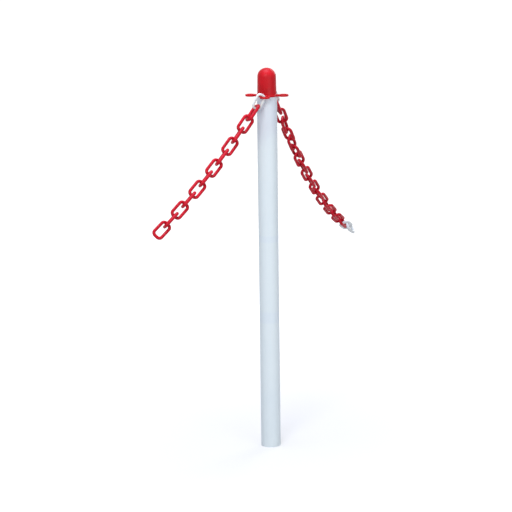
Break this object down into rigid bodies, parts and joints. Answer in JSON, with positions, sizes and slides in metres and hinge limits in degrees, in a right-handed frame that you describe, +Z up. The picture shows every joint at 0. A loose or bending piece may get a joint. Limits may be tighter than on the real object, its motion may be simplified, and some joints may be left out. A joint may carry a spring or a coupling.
{
  "type": "plastic chain post",
  "caption": "White plastic tube post with a red domed eyelet cap and red plastic chains hooked to it by white snap links, for marking off an area.",
  "frame": {"origin": "centre of the tube's foot", "axes": "+Z up along the tube; the front eyelet faces -Y; the left chain leaves towards -X and -Y, the right chain towards +X and +Y"},
  "size_m": [0.5168, 0.8757, 0.971],
  "materials": {
    "white_upvc": "smooth extruded",
    "red_polyethylene": "satin moulded",
    "white_polyethylene": "satin moulded"
  },
  "bodies": {
    "post": {"post_tube": "white_upvc", "eyelet_cap": "red_polyethylene"},
    "left_connector": {"left_connector": "white_polyethylene"},
    "left_link_01": {"left_link_01": "red_polyethylene"},
    "left_link_02": {"left_link_02": "red_polyethylene"},
    "left_link_03": {"left_link_03": "red_polyethylene"},
    "left_link_04": {"left_link_04": "red_polyethylene"},
    "left_link_05": {"left_link_05": "red_polyethylene"},
    "left_link_06": {"left_link_06": "red_polyethylene"},
    "left_link_07": {"left_link_07": "red_polyethylene"},
    "left_link_08": {"left_link_08": "red_polyethylene"},
    "left_link_09": {"left_link_09": "red_polyethylene"},
    "left_link_10": {"left_link_10": "red_polyethylene"},
    "left_link_11": {"left_link_11": "red_polyethylene"},
    "left_link_12": {"left_link_12": "red_polyethylene"},
    "right_connector": {"right_connector": "white_polyethylene"},
    "right_link_01": {"right_link_01": "red_polyethylene"},
    "right_link_02": {"right_link_02": "red_polyethylene"},
    "right_link_03": {"right_link_03": "red_polyethylene"},
    "right_link_04": {"right_link_04": "red_polyethylene"},
    "right_link_05": {"right_link_05": "red_polyethylene"},
    "right_link_06": {"right_link_06": "red_polyethylene"},
    "right_link_07": {"right_link_07": "red_polyethylene"},
    "right_link_08": {"right_link_08": "red_polyethylene"},
    "right_link_09": {"right_link_09": "red_polyethylene"},
    "right_link_10": {"right_link_10": "red_polyethylene"},
    "right_link_11": {"right_link_11": "red_polyethylene"},
    "right_link_12": {"right_link_12": "red_polyethylene"},
    "right_link_13": {"right_link_13": "red_polyethylene"},
    "right_link_14": {"right_link_14": "red_polyethylene"},
    "right_link_15": {"right_link_15": "red_polyethylene"},
    "right_link_16": {"right_link_16": "red_polyethylene"},
    "right_link_17": {"right_link_17": "red_polyethylene"},
    "right_link_18": {"right_link_18": "red_polyethylene"},
    "right_white_link_01": {"right_white_link_01": "white_polyethylene"},
    "right_white_link_02": {"right_white_link_02": "white_polyethylene"}
  },
  "joints": [
    {"name": "left_connector_swing", "type": "hinge", "parent": "post", "child": "left_connector", "pos_m": [-0.01534, -0.04252, 0.9025], "axis": [0.1736, -0.9848, 0], "range_deg": [-45, 45]},
    {"name": "left_link_01_swing", "type": "hinge", "parent": "left_connector", "child": "left_link_01", "pos_m": [-0.02789, -0.04473, 0.87636], "axis": [-0.8415, -0.3247, 0.4317], "range_deg": [-60, 60]},
    {"name": "left_link_02_swing", "type": "hinge", "parent": "left_link_01", "child": "left_link_02", "pos_m": [-0.04647, -0.06331, 0.85103], "axis": [-0.4966, 0.8323, -0.2462], "range_deg": [-60, 60]},
    {"name": "left_link_03_swing", "type": "hinge", "parent": "left_link_02", "child": "left_link_03", "pos_m": [-0.06507, -0.08191, 0.82646], "axis": [0.7899, 0.0197, -0.6129], "range_deg": [-60, 60]},
    {"name": "left_link_04_swing", "type": "hinge", "parent": "left_link_03", "child": "left_link_04", "pos_m": [-0.08395, -0.10079, 0.80231], "axis": [0.3347, -0.8513, 0.404], "range_deg": [-60, 60]},
    {"name": "left_link_05_swing", "type": "hinge", "parent": "left_link_04", "child": "left_link_05", "pos_m": [-0.10312, -0.11996, 0.77862], "axis": [-0.7754, -0.0052, 0.6314], "range_deg": [-60, 60]},
    {"name": "left_link_06_swing", "type": "hinge", "parent": "left_link_05", "child": "left_link_06", "pos_m": [-0.12257, -0.13941, 0.7554], "axis": [-0.3446, 0.8415, -0.4162], "range_deg": [-60, 60]},
    {"name": "left_link_07_swing", "type": "hinge", "parent": "left_link_06", "child": "left_link_07", "pos_m": [-0.14231, -0.15915, 0.73267], "axis": [0.7595, -0.0107, -0.6504], "range_deg": [-60, 60]},
    {"name": "left_link_08_swing", "type": "hinge", "parent": "left_link_07", "child": "left_link_08", "pos_m": [-0.16234, -0.17918, 0.71045], "axis": [0.3554, -0.8307, 0.4286], "range_deg": [-60, 60]},
    {"name": "left_link_09_swing", "type": "hinge", "parent": "left_link_08", "child": "left_link_09", "pos_m": [-0.18267, -0.19951, 0.68878], "axis": [-0.7422, 0.028, 0.6696], "range_deg": [-60, 60]},
    {"name": "left_link_10_swing", "type": "hinge", "parent": "left_link_09", "child": "left_link_10", "pos_m": [-0.20328, -0.22012, 0.66766], "axis": [-0.3671, 0.8189, -0.4411], "range_deg": [-60, 60]},
    {"name": "left_link_11_swing", "type": "hinge", "parent": "left_link_10", "child": "left_link_11", "pos_m": [-0.2242, -0.24104, 0.64713], "axis": [0.7233, -0.0469, -0.6889], "range_deg": [-60, 60]},
    {"name": "left_link_12_swing", "type": "hinge", "parent": "left_link_11", "child": "left_link_12", "pos_m": [-0.2454, -0.26224, 0.62721], "axis": [0.38, -0.8061, 0.4537], "range_deg": [-60, 60]},
    {"name": "right_connector_swing", "type": "hinge", "parent": "post", "child": "right_connector", "pos_m": [0.0128, 0.04772, 0.9025], "axis": [-0.6691, 0.7431, 0], "range_deg": [-45, 40]},
    {"name": "right_link_01_swing", "type": "hinge", "parent": "right_connector", "child": "right_link_01", "pos_m": [0.02295, 0.05686, 0.87682], "axis": [0.8454, 0.301, 0.4412], "range_deg": [-60, 60]},
    {"name": "right_link_02_swing", "type": "hinge", "parent": "right_link_01", "child": "right_link_02", "pos_m": [0.03176, 0.07867, 0.84892], "axis": [0.4076, -0.7775, -0.479], "range_deg": [-60, 60]},
    {"name": "right_link_03_swing", "type": "hinge", "parent": "right_link_02", "child": "right_link_03", "pos_m": [0.04063, 0.10063, 0.82181], "axis": [-0.9511, 0.0029, -0.3088], "range_deg": [-60, 60]},
    {"name": "right_link_04_swing", "type": "hinge", "parent": "right_link_03", "child": "right_link_04", "pos_m": [0.04969, 0.12304, 0.79513], "axis": [0.1124, 0.7416, 0.6613], "range_deg": [-60, 60]},
    {"name": "right_link_05_swing", "type": "hinge", "parent": "right_link_04", "child": "right_link_05", "pos_m": [0.05893, 0.14592, 0.76892], "axis": [0.887, -0.4541, -0.0835], "range_deg": [-60, 60]},
    {"name": "right_link_06_swing", "type": "hinge", "parent": "right_link_05", "child": "right_link_06", "pos_m": [0.06837, 0.16928, 0.74321], "axis": [-0.3474, -0.6271, -0.6972], "range_deg": [-60, 60]},
    {"name": "right_link_07_swing", "type": "hinge", "parent": "right_link_06", "child": "right_link_07", "pos_m": [0.078, 0.19313, 0.71802], "axis": [-0.7615, 0.5903, 0.2676], "range_deg": [-60, 60]},
    {"name": "right_link_08_swing", "type": "hinge", "parent": "right_link_07", "child": "right_link_08", "pos_m": [0.08784, 0.21748, 0.69339], "axis": [0.6112, 0.4271, 0.6663], "range_deg": [-60, 60]},
    {"name": "right_link_09_swing", "type": "hinge", "parent": "right_link_08", "child": "right_link_09", "pos_m": [0.09788, 0.24233, 0.66936], "axis": [0.5217, -0.6925, -0.4982], "range_deg": [-60, 60]},
    {"name": "right_link_10_swing", "type": "hinge", "parent": "right_link_09", "child": "right_link_10", "pos_m": [0.10813, 0.2677, 0.64596], "axis": [-0.7203, -0.2901, -0.6301], "range_deg": [-60, 60]},
    {"name": "right_link_11_swing", "type": "hinge", "parent": "right_link_10", "child": "right_link_11", "pos_m": [0.11859, 0.29358, 0.62324], "axis": [-0.5308, 0.67, 0.519], "range_deg": [-60, 60]},
    {"name": "right_link_12_swing", "type": "hinge", "parent": "right_link_11", "child": "right_link_12", "pos_m": [0.12926, 0.32, 0.60123], "axis": [0.6123, 0.3452, 0.7113], "range_deg": [-60, 60]},
    {"name": "right_link_13_swing", "type": "hinge", "parent": "right_link_12", "child": "right_link_13", "pos_m": [0.14015, 0.34695, 0.57998], "axis": [0.645, -0.6165, -0.4514], "range_deg": [-60, 60]},
    {"name": "right_link_14_swing", "type": "hinge", "parent": "right_link_13", "child": "right_link_14", "pos_m": [0.15125, 0.37442, 0.55955], "axis": [-0.8231, -0.085, -0.5614], "range_deg": [-60, 60]},
    {"name": "right_link_15_swing", "type": "hinge", "parent": "right_link_14", "child": "right_link_15", "pos_m": [0.16257, 0.40243, 0.53996], "axis": [-0.2871, 0.6241, 0.7267], "range_deg": [-60, 60]},
    {"name": "right_link_16_swing", "type": "hinge", "parent": "right_link_15", "child": "right_link_16", "pos_m": [0.1741, 0.43097, 0.52128], "axis": [0.9001, -0.0839, 0.4274], "range_deg": [-60, 60]},
    {"name": "right_link_17_swing", "type": "hinge", "parent": "right_link_16", "child": "right_link_17", "pos_m": [0.18584, 0.46002, 0.50356], "axis": [0.3039, -0.5826, -0.7538], "range_deg": [-60, 60]},
    {"name": "right_link_18_swing", "type": "hinge", "parent": "right_link_17", "child": "right_link_18", "pos_m": [0.19778, 0.48959, 0.48685], "axis": [-0.8899, 0.1092, -0.4429], "range_deg": [-60, 60]},
    {"name": "right_white_link_01_swing", "type": "hinge", "parent": "right_link_18", "child": "right_white_link_01", "pos_m": [0.20992, 0.51965, 0.4712], "axis": [-0.3226, 0.5364, 0.7799], "range_deg": [-60, 60]},
    {"name": "right_white_link_02_swing", "type": "hinge", "parent": "right_white_link_01", "child": "right_white_link_02", "pos_m": [0.22226, 0.55018, 0.45666], "axis": [0.8786, -0.1372, 0.4574], "range_deg": [-60, 60]}
  ]
}
